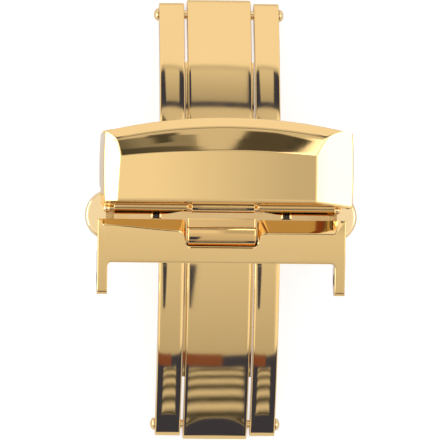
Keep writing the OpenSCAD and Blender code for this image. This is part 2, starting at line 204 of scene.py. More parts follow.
def strip_loop(n=150):
    """The strip's side view: two arcs about the arch's axis that draw together near the noses,
    joined by half circles. Also each point's share of the crown."""
    ends = -STRIP_NOSE_A, STRIP_NOSE_A, n
    half, share = taper(*ends, STRIP_NOSE_A, STRIP_TIP, STRIP_TAPER)
    top = arc(0, ARCH_Z, MID_R + half, *ends)
    low = arc(0, ARCH_Z, MID_R - half, *ends)[::-1]
    nose = plate_nose(STRIP_NOSE_A, STRIP_TIP, 22)
    loop = np.concatenate([top, nose, low, (nose * [-1, 1])[::-1]])
    return loop, np.concatenate([share, np.zeros(len(loop) - n)])


def group(name, inputs, outputs):
    """A new shader node group, the sockets that feed it and those that it fills. An input's
    kind follows from its value, and an output's kind is given as Float or Color."""
    g = bpy.data.node_groups.new(name, "ShaderNodeTree")
    for label, value in inputs.items():
        kind = "NodeSocketColor" if isinstance(value, tuple) else "NodeSocketFloat"
        g.interface.new_socket(label, in_out="INPUT", socket_type=kind).default_value = value
    for label, kind in outputs.items():
        g.interface.new_socket(label, in_out="OUTPUT", socket_type="NodeSocket" + kind)
    return g, g.nodes.new("NodeGroupInput").outputs, g.nodes.new("NodeGroupOutput").inputs


def feed(tree, target, value):
    """Links a socket to an input, or sets the input to a number or a colour."""
    if isinstance(value, bpy.types.NodeSocket):
        tree.links.new(value, target)
    else:
        target.default_value = value


def node(tree, kind, **values):
    """A shader node with its properties set, or its input sockets where the name is theirs."""
    n = tree.nodes.new("ShaderNode" + kind)
    for key, value in values.items():
        if key in n.inputs:
            feed(tree, n.inputs[key], value)
        else:
            setattr(n, key, value)
    return n


def math_node(tree, operation, *values, clamp=False):
    """A Math node whose inputs are numbers or sockets. Returns its output socket."""
    n = node(tree, "Math", operation=operation, use_clamp=clamp)
    for target, value in zip(n.inputs, values):
        feed(tree, target, value)
    return n.outputs[0]


def scaled(tree, value, factor, offset, clamp=False):
    """The output of a Math node for value x factor + offset."""
    return math_node(tree, "MULTIPLY_ADD", value, factor, offset, clamp=clamp)


def colour_mix(tree, factor, a, b):
    """A Mix node from colour a to colour b, each a colour or a socket. Returns its output."""
    n = node(tree, "Mix", data_type="RGBA", Factor=factor)
    feed(tree, n.inputs[6], a)
    feed(tree, n.inputs[7], b)
    return n.outputs[2]


# Plating drift: gold plate varies a little in tone and in polish over a few millimetres.
drift, d_in, d_out = group(
    "plating_drift",
    {"Tone": (0.95, 0.67, 0.29, 1), "Deep Tone": (0.9, 0.6, 0.24, 1), "Patch Scale": 220.0, "Polish": 0.06,
     "Polish Spread": 0.04}, {"Colour": "Color", "Roughness": "Float"})
coords = node(drift, "TexCoord").outputs["Object"]
patches = node(drift, "TexNoise", Vector=coords, Scale=d_in["Patch Scale"], Detail=3.0,
               Roughness=0.55)
haze = node(drift, "TexNoise", Vector=coords, Scale=900.0, Detail=4.0, Roughness=0.6)
share = scaled(drift, patches.outputs["Fac"], 1.6, -0.45, clamp=True)
feed(drift, d_out["Colour"], colour_mix(drift, share, d_in["Tone"], d_in["Deep Tone"]))
veil = scaled(drift, haze.outputs["Fac"], 1.5, -0.4, clamp=True)
spread = math_node(drift, "MULTIPLY", veil, d_in["Polish Spread"])
feed(drift, d_out["Roughness"], math_node(drift, "ADD", spread, d_in["Polish"]))

# Wipe marks: the fine hairlines that a polishing cloth leaves, stretched along Y.
wipe, w_in, w_out = group("wipe_marks", {"Scale": 9000.0, "Stretch": 0.04}, {"Height": "Float"})
thin = node(wipe, "CombineXYZ", X=1.0, Y=w_in["Stretch"], Z=1.0)
squeeze = node(wipe, "VectorMath", operation="MULTIPLY")
feed(wipe, squeeze.inputs[0], node(wipe, "TexCoord").outputs["Object"])
feed(wipe, squeeze.inputs[1], thin.outputs[0])
marks = node(wipe, "TexNoise", Vector=squeeze.outputs[0], Scale=w_in["Scale"], Detail=2.0,
             Roughness=0.7)
feed(wipe, w_out["Height"], marks.outputs["Fac"])

# Edge wear: corners rub paler and duller first. Pointiness finds them, noise breaks them up.
wear, e_in, e_out = group("edge_wear", {"Start": 0.54, "Sharpness": 12.0}, {"Mask": "Float"})
corners = node(wear, "NewGeometry").outputs["Pointiness"]
coords = node(wear, "TexCoord").outputs["Object"]
chips = node(wear, "TexNoise", Vector=coords, Scale=1500.0, Detail=3.0)
over = math_node(wear, "SUBTRACT", corners, e_in["Start"])
rub = math_node(wear, "MULTIPLY", over, e_in["Sharpness"], clamp=True)
feed(wear, e_out["Mask"], math_node(wear, "MULTIPLY", rub, chips.outputs["Fac"]))

GOLD = (0.95, 0.655, 0.285)
GOLD_DEEP = (0.94, 0.635, 0.265)
GOLD_WORN = (0.97, 0.8, 0.5)


def polished(name, tone=GOLD, deep=GOLD_DEEP, worn=GOLD_WORN, polish=0.05, spread=0.03, marks=0.02,
             stretch=0.04):
    """A polished metal: the drift group gives its tone and polish, the wear group pales its
    corners, and the wipe marks are a faint bump."""
    m = bpy.data.materials.new(name)
    m.use_nodes = True
    t = m.node_tree
    plate = node(t, "Group", node_tree=drift, **{
        "Tone": (*tone, 1), "Deep Tone": (*deep, 1), "Polish": polish, "Polish Spread": spread}).outputs
    rub = node(t, "Group", node_tree=wear).outputs["Mask"]
    lines = node(t, "Group", node_tree=wipe, Stretch=stretch).outputs["Height"]
    looks = {"Metallic": 1.0, "IOR": 1.5,
             "Base Color": colour_mix(t, math_node(t, "MULTIPLY", rub, 0.35), plate["Colour"], (*worn, 1)),
             "Roughness": scaled(t, rub, 0.06, plate["Roughness"]),
             "Normal": node(t, "Bump", Strength=marks, Distance=0.00001, Height=lines).outputs[0]}
    for label, value in looks.items():
        feed(t, t.nodes["Principled BSDF"].inputs[label], value)
    return m


strip_gold = polished("strip_gold")

loop, weight = strip_loop()
strip = side_prism(loop, -STRIP_HALF, STRIP_HALF, LONG_EDGE, 30, weight)


def ledge_loop(a0, a1, r0, r1, n=40):
    """A thin band between two radii and two angles about the arch's axis."""
    return np.concatenate([arc(0, ARCH_Z, r1, a0, a1, n), arc(0, ARCH_Z, r0, a1, a0, n)])


LEDGE_A = (radians(4.2), radians(21.5))
LEDGE_R = (ARCH_R - PLATE + 0.1, ARCH_R - PLATE + 0.6)
LEDGE_X = (2.5, 2.75)
ledge = ledge_loop(*LEDGE_A, *LEDGE_R)
ledges = [side_prism(ledge * [sy, 1], *sorted(sx * x for x in LEDGE_X), 0.02)
          for sx in (-1, 1) for sy in (-1, 1)]
piece("base_strip_gold", [strip] + ledges, strip_gold, "base", ["base_strip"])

# Hinge pins: one at each end, through both rails and the strip. Turned gold plated steel,
# riveted over, so each end shows a small domed head outside its rail.
PIN_R = 0.35
HEAD_R = 0.5
HEAD_H = 0.37
SHAFT = 4.83


def turned(profile, y, z, around=48):
    """A profile of (x, radius) points turned about an axis along X. The two end points sit on
    the axis, so the poles close when their doubles are merged."""
    x, r = np.asarray(profile, float).T
    a = np.linspace(0, 2 * pi, around, endpoint=False)
    co = np.empty((len(x), around, 3))
    co[..., 0] = x[:, None]
    co[..., 1] = y + r[:, None] * np.cos(a)
    co[..., 2] = z + r[:, None] * np.sin(a)
    return co, quads(len(x), around, wrap_cols=True)


def dome(x0, height, radius, steps=10):
    """Profile of a spherical dome from its rim at x0 to its top at x0 + height."""
    t = np.linspace(0, pi / 2, steps)
    return np.stack([x0 + height * np.sin(t), radius * np.cos(t)], -1)


pin_gold = polished("pin_gold", (0.95, 0.7, 0.36), (0.9, 0.62, 0.28), polish=0.08)
head = np.concatenate([[[SHAFT, PIN_R], [SHAFT, HEAD_R - 0.03], [SHAFT + 0.02, HEAD_R]],
                       dome(SHAFT + 0.04, HEAD_H - 0.04, HEAD_R)])
pin_profile = np.concatenate([(head * [-1, 1])[::-1], head])
for end, sign in (("top", 1), ("bottom", -1)):
    piece(f"{end}_hinge_pin_gold", [turned(pin_profile, sign * HINGE_Y, HINGE_Z)], pin_gold, "base",
          [f"{end}_hinge_pin"])

# Rails: the two arched prongs of each folding arm, one on each side of the strip. Bent from
# the same plate as the strip, with a knuckle at the hinge and a pad where the arm's
# crosspiece is soldered on. Their long edges are rounded in polishing.
RAIL_X = (2.8, 4.8)
RAIL_CROWN = radians(7.2)
RAIL_TIP, RAIL_PAST, RAIL_TAPER = 0.6, 0.39, 3
RAIL_NOSE_A = HINGE_A + RAIL_PAST / MID_R
CROSS_R = ARCH_R + 0.1
CROSS_TOP = CROSS_R + 0.8
CROSS_FROM = 2.6
CROSS_TO = {"upper": 6.4, "lower": 3.4}
RAIL_END_A = asin(CROSS_FROM / ARCH_R)


def rail_loop(pad_y, n=110):
    """Side view of a rail, from its square inner end: the pad, a small step down to the outer
    arc, the nose's half circle and the inner arc. Also each point's share of the crown."""
    pad_a = asin(pad_y / ARCH_R)
    outwards, back = (pad_a, RAIL_NOSE_A, n), (RAIL_NOSE_A, RAIL_END_A, n)
    half, share = taper(*outwards, RAIL_NOSE_A, RAIL_TIP, RAIL_TAPER)
    half_low = taper(*back, RAIL_NOSE_A, RAIL_TIP, RAIL_TAPER)[0]
    pad = arc(0, ARCH_Z, CROSS_R, RAIL_END_A, pad_a, 12)
    loop = np.concatenate([pad, arc(0, ARCH_Z, MID_R + half, *outwards),
                           plate_nose(RAIL_NOSE_A, RAIL_TIP, 20),
                           arc(0, ARCH_Z, MID_R - half_low, *back)])
    weight = np.zeros(len(loop))
    weight[len(pad):len(pad) + n] = share
    return loop, weight


rail_gold = polished("rail_gold")
for arm, sy in (("upper", 1), ("lower", -1)):
    loop, weight = rail_loop(CROSS_TO[arm])
    for side, sx in (("left", -1), ("right", 1)):
        x0, x1 = sorted(sx * x for x in RAIL_X)
        shell = side_prism(loop * [sy, 1], x0, x1, LONG_EDGE, 20, weight, RAIL_CROWN)
        piece(f"{arm}_{side}_rail_gold", [shell], rail_gold, f"{arm}_arm", [f"{arm}_{side}_rail"])

# Latch box: a milled gold plated block riveted onto the strip's middle, with pockets for the
# two slides and their springs. Only its side walls and underside show.
box_gold = polished("box_gold", (0.93, 0.66, 0.28), (0.88, 0.58, 0.22), polish=0.12, spread=0.06,
                    marks=0.08)


def broken_edges(name, source, material, body, width):
    """A copy of a CAD node's mesh with its triangles merged and its sharp edges broken by a
    small bevel, as tumbling leaves them."""
    mesh = nodes[source].data.copy()
    mesh.name = name
    clean(mesh, 1e-6, flatten=True)
    for attribute in [a.name for a in mesh.attributes if a.name.startswith("custom_normal")]:
        mesh.attributes.remove(mesh.attributes[attribute])
    return placed(name, mesh, material, body, [source], 50, width)


broken_edges("latch_housing_gold", "latch_housing", box_gold, "base", 0.06)

# Latch box lid: a flat plate that closes the box, with two pairs of small square windows for
# the arms' hooks. Its upper face is polished, and its edges and windows are broken.
# Its tone is darker and deeper than the other gold: painted shade, as the lid lies deep under the cover.
lid_gold_painted_shade = polished("lid_gold_painted_shade", (0.86, 0.55, 0.225), (0.84, 0.52, 0.2), polish=0.06)
broken_edges("housing_lid_gold", "housing_lid", lid_gold_painted_shade, "base", 0.07)

# Window beads: the metal pressed up along both sides of each of the lid's windows, rounded
# and burnished by the hooks that pass between them.
LID_TOP = 7.35
BEAD_R = 0.08
BEAD_X = (4.82, 5.48)
WINDOWS_Y = ((0.0, 1.95), (-1.95, -0.75))


def bead(x, y0, y1):
    """A thin bar of radius BEAD_R with half-sphere ends: a profile turned about an axis along
    Y, half sunk in the lid's face."""
    end = dome(0, BEAD_R, BEAD_R, 6)
    profile = np.concatenate([(end * [-1, 1])[::-1] + [y0 + BEAD_R, 0], end + [y1 - BEAD_R, 0]])
    co, faces = turned(profile, x, LID_TOP - 0.01, around=24)
    return co[..., [1, 0, 2]], faces


beads = [bead(sx * x, *window) for sx in (-1, 1) for x in BEAD_X for window in WINDOWS_Y]
piece("window_beads_gold", beads, pin_gold, "base")

# Lid rivets and housing rivets: gold plated. The lid's four are peened flush, and the two
# under the strip have low domed heads.
RIVETS = ("lid_rivets", "housing_rivets")


def dress(names, material):
    """Gives one of the scene's materials to CAD nodes that stay as they are."""
    for name in names:
        nodes[name].data.materials.clear()
        nodes[name].data.materials.append(material)


dress(RIVETS, pin_gold)

# Stop pins and push slides: turned pins and flat ground steel slides, coloured near-black as painted
# shade for the dark inside of the box. They sit inside the box and show only through the windows. Only the
# slides' outer ends are plated.
PLATED_FROM, PLATED_FULL = 8.0 * MM, 8.3 * MM
slide_steel_painted_shade = polished("slide_steel_painted_shade", (0.07, 0.04, 0.025), (0.05, 0.03, 0.02), (0.3, 0.27, 0.22),
                       polish=0.4, spread=0.1, marks=0.25, stretch=0.01)
t = slide_steel_painted_shade.node_tree
base_colour = t.nodes["Principled BSDF"].inputs["Base Color"]
coords = node(t, "TexCoord").outputs["Object"]
outwards = math_node(t, "ABSOLUTE", node(t, "SeparateXYZ", Vector=coords).outputs[0])
plated = node(t, "MapRange", interpolation_type="SMOOTHSTEP", **{
    "Value": outwards, "From Min": PLATED_FROM, "From Max": PLATED_FULL})
feed(t, base_colour, colour_mix(t, plated.outputs[0], base_colour.links[0].from_socket, (*GOLD, 1)))
dress(("stop_pins", "left_push_slide", "right_push_slide"), slide_steel_painted_shade)

# Return springs: a steel coil in each slide's bore, pushing the button out.
SPRING_X = (0.5, 3.4)
SPRING_Z = 6.475


def coil(x0, x1, radius, wire, turns, around=8, per_turn=20):
    """A wire of circular section along a helix: centre line (x, R cos a, R sin a) with x rising
    evenly, and the section's ring spanned by the radial direction and the helix's binormal."""
    a = np.linspace(0, 2 * pi * turns, int(per_turn * turns))
    x = np.linspace(x0 + wire, x1 - wire, len(a))
    rise = (x1 - x0 - 2 * wire) / (2 * pi * turns)
    centre = np.stack([x, radius * np.cos(a), radius * np.sin(a)], -1)
    radial = np.stack([np.zeros_like(a), np.cos(a), np.sin(a)], -1)
    along = np.stack([np.full_like(a, rise), -radius * np.sin(a), radius * np.cos(a)], -1)
    along /= np.linalg.norm(along, axis=1, keepdims=True)
    across = np.cross(along, radial)
    b = np.linspace(0, 2 * pi, around, endpoint=False)[None, :, None]
    co = centre[:, None] + wire * (np.cos(b) * radial[:, None] + np.sin(b) * across[:, None])
    n = len(a)
    faces = quads(n, around, wrap_cols=True)
    faces += [list(range(around)), list(range((n - 1) * around, n * around))]
    return co + [0, 0, SPRING_Z], faces


spring_steel = polished("spring_steel", (0.56, 0.55, 0.53), (0.5, 0.49, 0.47), (0.7, 0.69, 0.67),
                        polish=0.15)
for side, sign in (("left", -1), ("right", 1)):
    co, faces = coil(*SPRING_X, 0.27, 0.07, 9)
    spring = piece(f"{side}_return_spring_coil", [(co * [sign, 1, 1], faces)], spring_steel, "base",
                   [f"{side}_return_spring"])
    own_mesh(spring)

# Centre roll: a low plate soldered on the lid, rolled over at its free edge into the barrel
# that fills the notch of the lug piece. Gold plated and polished, its ends rounded.
ROLL_HALF = 2.7
PLATE_TOP = 7.9
NOSE_Y, NOSE_Z, NOSE_R = -1.5, 7.75, 0.66
CREST_R, CREST_BACK = 3.2, radians(5)
CREST_FRONT = radians(-10)
HEEL_R = 0.16


def roll_loop():
    """Side view of the roll, by tangent circles: the plate's flat top, a small tight heel up
    to a nearly flat crest, and the round nose that turns down to the lid."""
    nose = arc(NOSE_Y, NOSE_Z, NOSE_R, CREST_FRONT, radians(-127), 30)
    away = np.array([sin(CREST_FRONT), cos(CREST_FRONT)])
    crest_at = nose[0] - CREST_R * away
    crest = arc(*crest_at, CREST_R, CREST_BACK, CREST_FRONT, 24)
    away = np.array([sin(CREST_BACK), cos(CREST_BACK)])
    heel = arc(*(crest[0] - HEEL_R * away), HEEL_R, radians(100), CREST_BACK, 10)
    plate = np.stack([np.linspace(0.05, heel[0, 0], 8), np.full(8, PLATE_TOP)], -1)
    front = np.array([[0.05, LID_TOP], [0.05, PLATE_TOP - 0.05]])
    return np.concatenate([front, plate, heel, crest[1:], nose[1:], [[nose[-1, 0] + 0.05, LID_TOP]]])


# Its tone is a little darker than the other gold: painted shade, as the roll lies low between the cover and
# the lug piece.
roll_gold_painted_shade = polished("roll_gold_painted_shade", (0.88, 0.57, 0.235), (0.86, 0.54, 0.21), polish=0.045)
piece("centre_roll_gold", [side_prism(roll_loop(), -ROLL_HALF, ROLL_HALF, 0.12)], roll_gold_painted_shade, "base",
      ["centre_roll"])

# Button caps: flat discs with a rounded rim, cut off square where they meet the box and
# pressed onto the slides. Gold plated and polished.
DISC_R = 2.03
CAP_X0 = 9.15
CAP_Z = (5.525, 7.425)
CAP_C = (8.72, 0.25)
CAP_RIM = 0.28
CAP_FALL = tan(radians(5))


def cap_shell(sign):
    """A disc segment: its plan is an arc of radius DISC_R closed by the flat at CAP_X0, carried
    up Z with a quarter circle at both rims. Its top falls a little outwards."""
    half = acos((CAP_X0 - CAP_C[0]) / DISC_R)
    a = np.linspace(-half, half, 60)
    rim = np.stack([CAP_C[0] + DISC_R * np.cos(a), CAP_C[1] + DISC_R * np.sin(a)], -1)
    back = np.stack([np.full(12, CAP_X0), np.linspace(rim[-1, 1], rim[0, 1], 14)[1:-1]], -1)
    plan = np.concatenate([rim, back])
    n = outward(plan)
    n[len(rim):] = 0
    z, inset = rounded_sections(*CAP_Z, CAP_RIM, steps=8)
    co = np.empty((len(plan), len(z), 3))
    co[..., :2] = plan[:, None] - n[:, None] * inset[:, None]
    co[..., 2] = z - CAP_FALL * (co[..., 0] - CAP_X0) * (z - CAP_Z[0]) / (CAP_Z[1] - CAP_Z[0])
    return capped(co * [sign, 1, 1])


cap_gold = polished("cap_gold", (0.95, 0.71, 0.38), (0.94, 0.69, 0.36))
for side, sign in (("left", -1), ("right", 1)):
    piece(f"{side}_button_cap_gold", [cap_shell(sign)], cap_gold, f"{side}_button", [f"{side}_button_cap"])

# Crosspieces: arched bars soldered across each pair of rails. The upper one carries the
# cover's side walls, the lower one the lug piece.
cross_gold = polished("cross_gold", (0.93, 0.66, 0.28), polish=0.1)
for arm, sy, x0, x1 in (("upper", 1, -8.9, 9.6), ("lower", -1, -9.0, 9.0)):
    ends = asin(CROSS_FROM / ARCH_R), asin(CROSS_TO[arm] / ARCH_R)
    loop = ledge_loop(*ends, CROSS_R, CROSS_TOP, 16) * [sy, 1]
    piece(f"{arm}_crosspiece_gold", [side_prism(loop, x0, x1, 0.06)], cross_gold, f"{arm}_arm",
          [f"{arm}_crosspiece"])

# Hook bar: a bar across the upper arm behind the cover's lower edge. Its front edge is rolled
# into two lips and a bigger centre roll round the cover pin, and two hooks hang from it.
BAR_Y1, BAR_Z = 3.2, (7.5, 8.1)
LIP_Y, LIP_Z = 0.8, 8.0


def rolled(x0, x1, y, z, r, edge=0.12, steps=7):
    """A barrel along X with rounded rims, closed to the axis at both ends."""
    t = np.linspace(0, pi / 2, steps)
    end = np.stack([x0 + edge * (1 - np.cos(t)), r - edge * (1 - np.sin(t))], -1)
    profile = np.concatenate([[[x0, 0]], end, (end * [-1, 1] + [x0 + x1, 0])[::-1], [[x1, 0]]])
    return turned(profile, y, z, around=64)


def box_shell(x0, x1, y0, y1, z0, z1, edge=0.05):
    """A bar with a rectangular side view whose four corners are small quarter circles."""
    centres = ((y1 - edge, z1 - edge), (y1 - edge, z0 + edge), (y0 + edge, z0 + edge), (y0 + edge, z1 - edge))
    q = pi / 2
    loop = np.concatenate([arc(*centre, edge, i * q, (i + 1) * q, 5) for i, centre in enumerate(centres)])
    return side_prism(loop, x0, x1, edge)


ROLL_TILT = radians(68)
ROLL_BACK, ROLL_H, ROLL_RAD = 1.02, 7.98, 0.42
CORE_Y, CORE_Z = 1.08, 8.0
FOOT_H = 7.45


def lip_shell(x0, x1, inner_end):
    """A rolled lip: from behind, over a barrel, down a steep straight skirt to its foot, and
    back underneath. It shrinks to a point at its inner end, where its skirt also rises, and
    by a quarter circle at its plain end."""
    x = x0 + (x1 - x0) * (1 - np.cos(np.linspace(0, pi, 90))) / 2
    size = np.ones_like(x)
    for end in (x0, x1):
        reach, least = (0.36, 0.02) if end == inner_end else (0.12, 0.72)
        d = np.clip(np.abs(x - end) / reach, 0, 1)
        size = np.minimum(size, least + (1 - least) * np.sqrt(1 - (1 - d) ** 2))
    rise = smooth(1 - (np.abs(x - inner_end) - 0.3) / 1.9)
    level = 0 * x
    a = np.linspace(radians(70), -ROLL_TILT, 26)[:, None]
    y = ROLL_BACK + ROLL_RAD * np.sin(a) + level
    z = ROLL_H + ROLL_RAD * np.cos(a) + level
    skirt = (z[-1] - FOOT_H) * np.linspace(0, 1, 9)[1:, None] * (1 - 0.93 * rise)
    y = np.concatenate([y, y[-1] - skirt / tan(ROLL_TILT), [1.3 + level, 1.42 + level]])
    z = np.concatenate([z, z[-1] - skirt, [7.5 + level, 7.9 + level]])
    return capped(np.stack([x + 0 * y, CORE_Y + (y - CORE_Y) * size, CORE_Z + (z - CORE_Z) * size], -1))


# Its tone is a little darker than the other gold: painted shade, as the lips lie under the cover's front
# edge.
lip_gold_painted_shade = polished("lip_gold_painted_shade", (0.9, 0.6, 0.25), (0.88, 0.57, 0.23))
brow = arc(1.0, 8.22, 0.2, *np.radians([80, -14]), 12)
slant = arc(1.1455, 7.638, 0.8, *np.radians([-14, -45]), 16)
chin = arc(0.757, 8.027, 0.25, *np.radians([-45, -98]), 10)
tab = np.concatenate([[[1.42, 7.9]], brow, slant[1:], chin[1:], [[0.53, FOOT_H], [1.3, 7.5]]])
riser = np.concatenate([
    [[BAR_Y1, 8.05], [CROSS_FROM, 8.05]],
    arc(0, ARCH_Z, CROSS_TOP, asin(CROSS_FROM / CROSS_TOP), asin(BAR_Y1 / CROSS_TOP), 6)])
HOOK_X = ((-5.35, -4.95), (4.95, 5.35))
HOOK_TIP_Z = 6.05
hooks = [box_shell(*x, 1.0, 1.3, HOOK_TIP_Z, 7.6, 0.04) for x in HOOK_X]
barbs = [box_shell(*x, 0.84, 1.1, HOOK_TIP_Z, 6.25, 0.03) for x in HOOK_X]
piece("hook_bar_gold",
      [lip_shell(-8.55, -2.5, -2.5), lip_shell(2.68, 8.95, 2.68), side_prism(tab, -2.42, 2.6, 0.1),
       box_shell(-8.4, 8.8, 1.25, BAR_Y1, *BAR_Z), side_prism(riser, -8.4, 8.8, 0.03)] + hooks + barbs,
      lip_gold_painted_shade, "upper_arm", ["hook_bar"])

# Cover pin: the pin in the lips, with a small gold ball at each end beside the cover.
COVER_PIN_X = 9.1
ball = dome(0, 0.33, 0.33, 12)
ball = np.concatenate([(ball * [-1, 1])[::-1], ball[1:]])
balls = [turned(ball + [x, 0], LIP_Y, LIP_Z, 32) for x in (-COVER_PIN_X, COVER_PIN_X)]
piece("cover_pin_gold", balls + [rolled(-COVER_PIN_X, COVER_PIN_X, LIP_Y, LIP_Z, 0.22, 0.05)], pin_gold,
      "upper_arm", ["cover_pin"])

# Cover: the big faceted plate, cast or pressed in one, gold plated and mirror polished. It
# has a flat face, a facet rolled down towards the strap's mouth along an arched crease, a
# narrow side facet on the left and a wide one on the right, and bulged side walls.
COVER_X = 0.35
HALF_W = 9.98
TOP_Z = 10.2
Y0 = 1.18
MOUTH_Y = 6.7
SHORT_SIDE = 4.9
SWEEP_R = 42.8
SWEEP_Y = 8.0 - SWEEP_R
FACET_W = 2.64
WALL = 0.7
SIDE_R = 42.0
SIDE_Y = (Y0 + MOUTH_Y) / 2
LEFT_W, LEFT_RIM, LEFT_SKEW, LEFT_TWIST = 1.35, 9.15, 0.06, 0.28
RIGHT_W, RIGHT_FALL, RIGHT_SAG = 3.2, 0.3, 0.033
RIGHT_X = COVER_X + HALF_W - RIGHT_W
RIGHT_DIP = 0.42
FACE_SAG = 0.084
SIDE_EDGE = 0.09
FRONT_LEAN, FRONT_FOOT, FRONT_EDGE, FRONT_LOW = 0.14, 0.22, 0.1, 8.1
LEFT_LEAN = 0.2
FOOT_FRONT, FOOT_BACK, BAR_END_Y = 7.6, 8.97, 2.5

roll_t = np.linspace(0, 1, 4001)
roll_slope = np.tan(np.radians(np.interp(roll_t, [0, 0.67, 0.76, 1], [7, 13.4, 23, 46])))
roll_fall = np.concatenate([[0], np.cumsum((roll_slope[1:] + roll_slope[:-1]) / 2) * FACET_W / 4000])


def soft_min(surfaces, blend):
    """The lowest of several heights with a rounded crease: -b ln(sum of exp(-z / b))."""
    z = np.stack(surfaces)
    low = z.min(0)
    return low - blend * np.log(np.exp(-(z - low) / blend).sum(0))


def cover_height(x, y, inset):
    """Height of the cover's skin: the lowest of the slightly crowned face, the two side planes
    and the rolled facet, each moved inward by inset. The facet falls with the distance past
    its crease, measured from the sweep's centre."""
    face = TOP_Z - inset - FACE_SAG * ((x - COVER_X) / HALF_W) ** 2
    past = (np.hypot(x - COVER_X, y - SWEEP_Y) - (SWEEP_R - FACET_W)) / FACET_W
    t = np.clip(past, 0, 1)
    facet = TOP_Z - np.interp(t, roll_t, roll_fall) - np.maximum(past - 1, 0) * FACET_W * roll_slope[-1]
    facet = facet - inset / np.cos(np.arctan(np.interp(t, roll_t, roll_slope)))
    facet = np.where(past < 0, TOP_Z - inset - past * FACET_W * roll_slope[0], facet)
    rim = LEFT_RIM + LEFT_TWIST * smooth((y - 5) / 2.2)
    left_fall = (TOP_Z - rim) / LEFT_W
    from_left = x - (COVER_X - HALF_W) - LEFT_SKEW * (y - 4)
    left = rim + from_left * left_fall - inset * np.hypot(1, left_fall)
    past_right = x - RIGHT_X
    right = TOP_Z - RIGHT_FALL * past_right - RIGHT_SAG * np.maximum(past_right, 0) ** 2 - inset * 1.06
    return soft_min([face, facet, left, right], 0.006 if inset == 0 else 0.05)


def cover_plan(a, b, inset):
    """Plan points for shares a across and b along: between the two bulged sides, and from the
    straight lower edge to the arched upper edge."""
    y0 = Y0 + inset
    x = COVER_X + (2 * a - 1) * HALF_W
    for _ in range(4):
        y1 = SWEEP_Y + np.sqrt(SWEEP_R**2 - (x - COVER_X) ** 2)
        y = y0 + b * (y1 - y0)
        bulge = SIDE_R - np.sqrt(SIDE_R**2 - (y - SIDE_Y) ** 2)
        x_left = COVER_X - HALF_W + bulge + inset
        x_right = COVER_X + HALF_W - bulge - inset
        x = x_left + a * (x_right - x_left)
    return x, y


def wall_foot(y):
    """Height of the foot of a side wall: high beside the hook bar, down on the crosspiece in
    the middle, and up again at the strap's mouth."""
    foot = ARCH_Z + np.sqrt(CROSS_R**2 - np.clip(y, 0, MOUTH_Y) ** 2)
    return np.where(y < BAR_END_Y, FOOT_FRONT, np.where(y > MOUTH_Y, FOOT_BACK, foot))


def cover_skin(inset):
    """The outer or inner skin as one grid. Its middle is the height field, whose lower edge
    hangs a little forward at its right end. Its first rows climb the drafted front wall and
    round over its upper edge by a quarter circle, and its first and last columns drop down
    the side walls. The left wall leans out towards its foot."""
    a_in = np.interp(np.arange(174), [0, 6, 33, 122, 167, 173], [0, 0.005, 0.09, 0.8, 0.995, 1])
    b_in = np.interp(np.arange(133), [0, 23, 132], [0, 0.5, 1])
    x, y = cover_plan(*np.meshgrid(a_in, b_in), inset)
    foot_y = Y0 + inset - FRONT_FOOT
    top_y = Y0 + inset + FRONT_LEAN
    dip = RIGHT_DIP * np.clip((x - RIGHT_X) / RIGHT_W, 0, 1)
    y = y - dip * np.clip(1 - (y - top_y) / 3, 0, 1)
    z = cover_height(x, y, inset)
    low = FRONT_LOW + inset * 0.3
    t = np.linspace(0, pi / 2, 8)[:-1][:, None]
    edge_y = top_y + FRONT_EDGE * (1 - np.cos(t)) - dip[:1]
    edge_z = cover_height(x[:1] + 0 * edge_y, edge_y, inset) - FRONT_EDGE * (1 - np.sin(t))
    climb = np.linspace(0, 1, 6)[:-1][:, None]
    wall_y = foot_y + (top_y - dip[:1] - foot_y) * climb
    wall_z = low + (np.maximum(edge_z[:1], low + 0.05) - low) * climb
    first = np.argmax(b_in > (FRONT_LEAN + FRONT_EDGE) / SHORT_SIDE)
    x = np.concatenate([np.repeat(x[:1], len(climb) + len(t), 0), x[first:]])
    y = np.concatenate([wall_y, edge_y, y[first:]])
    z = np.concatenate([wall_z, edge_z, z[first:]])
    from_left, from_right = x - x[:, :1], x[:, -1:] - x
    near = np.clip(np.minimum(from_left, from_right) / SIDE_EDGE, 0, 1)
    z = z - SIDE_EDGE * (1 - np.sqrt(1 - (1 - near) ** 2))
    up = np.array([0, 0.25, 0.5, 0.75])
    walls = []
    for end, lean, share in ((slice(0, 1), LEFT_LEAN, up), (slice(-1, None), 0, up[::-1])):
        foot = wall_foot(y[:, end])
        rise = np.maximum(z[:, end] - 0.03 - foot, 0.01) * share
        wall_x, wall_y = x[:, end] + lean * share + 0 * rise, y[:, end] + 0 * rise
        walls.append(np.stack([wall_x, wall_y, foot + rise], -1))
    middle = np.stack([x + LEFT_LEAN * (1 - from_left / (from_left + from_right)), y, z], -1)
    return np.concatenate([walls[0], middle, walls[1]], 1)


outer = cover_skin(0)
inner = cover_skin(WALL)
rows, cols = outer.shape[:2]
count = rows * cols
ring = np.concatenate([np.arange(cols), np.arange(1, rows) * cols + cols - 1,
                       (rows - 1) * cols + np.arange(cols - 2, -1, -1), np.arange(rows - 2, 0, -1) * cols])
rim_faces = np.stack([ring, np.roll(ring, -1), np.roll(ring, -1) + count, ring + count], -1).tolist()
inner_faces = (np.array(quads(rows, cols)) + count)[:, ::-1].tolist()
cover_gold = polished("cover_gold", polish=0.03, spread=0.02, marks=0.01)
piece("cover_plate_gold", [(np.concatenate([outer.reshape(-1, 3), inner.reshape(-1, 3)]),
                            quads(rows, cols) + inner_faces + rim_faces)],
      cover_gold, "upper_arm", ["cover_plate"], sharp=60)

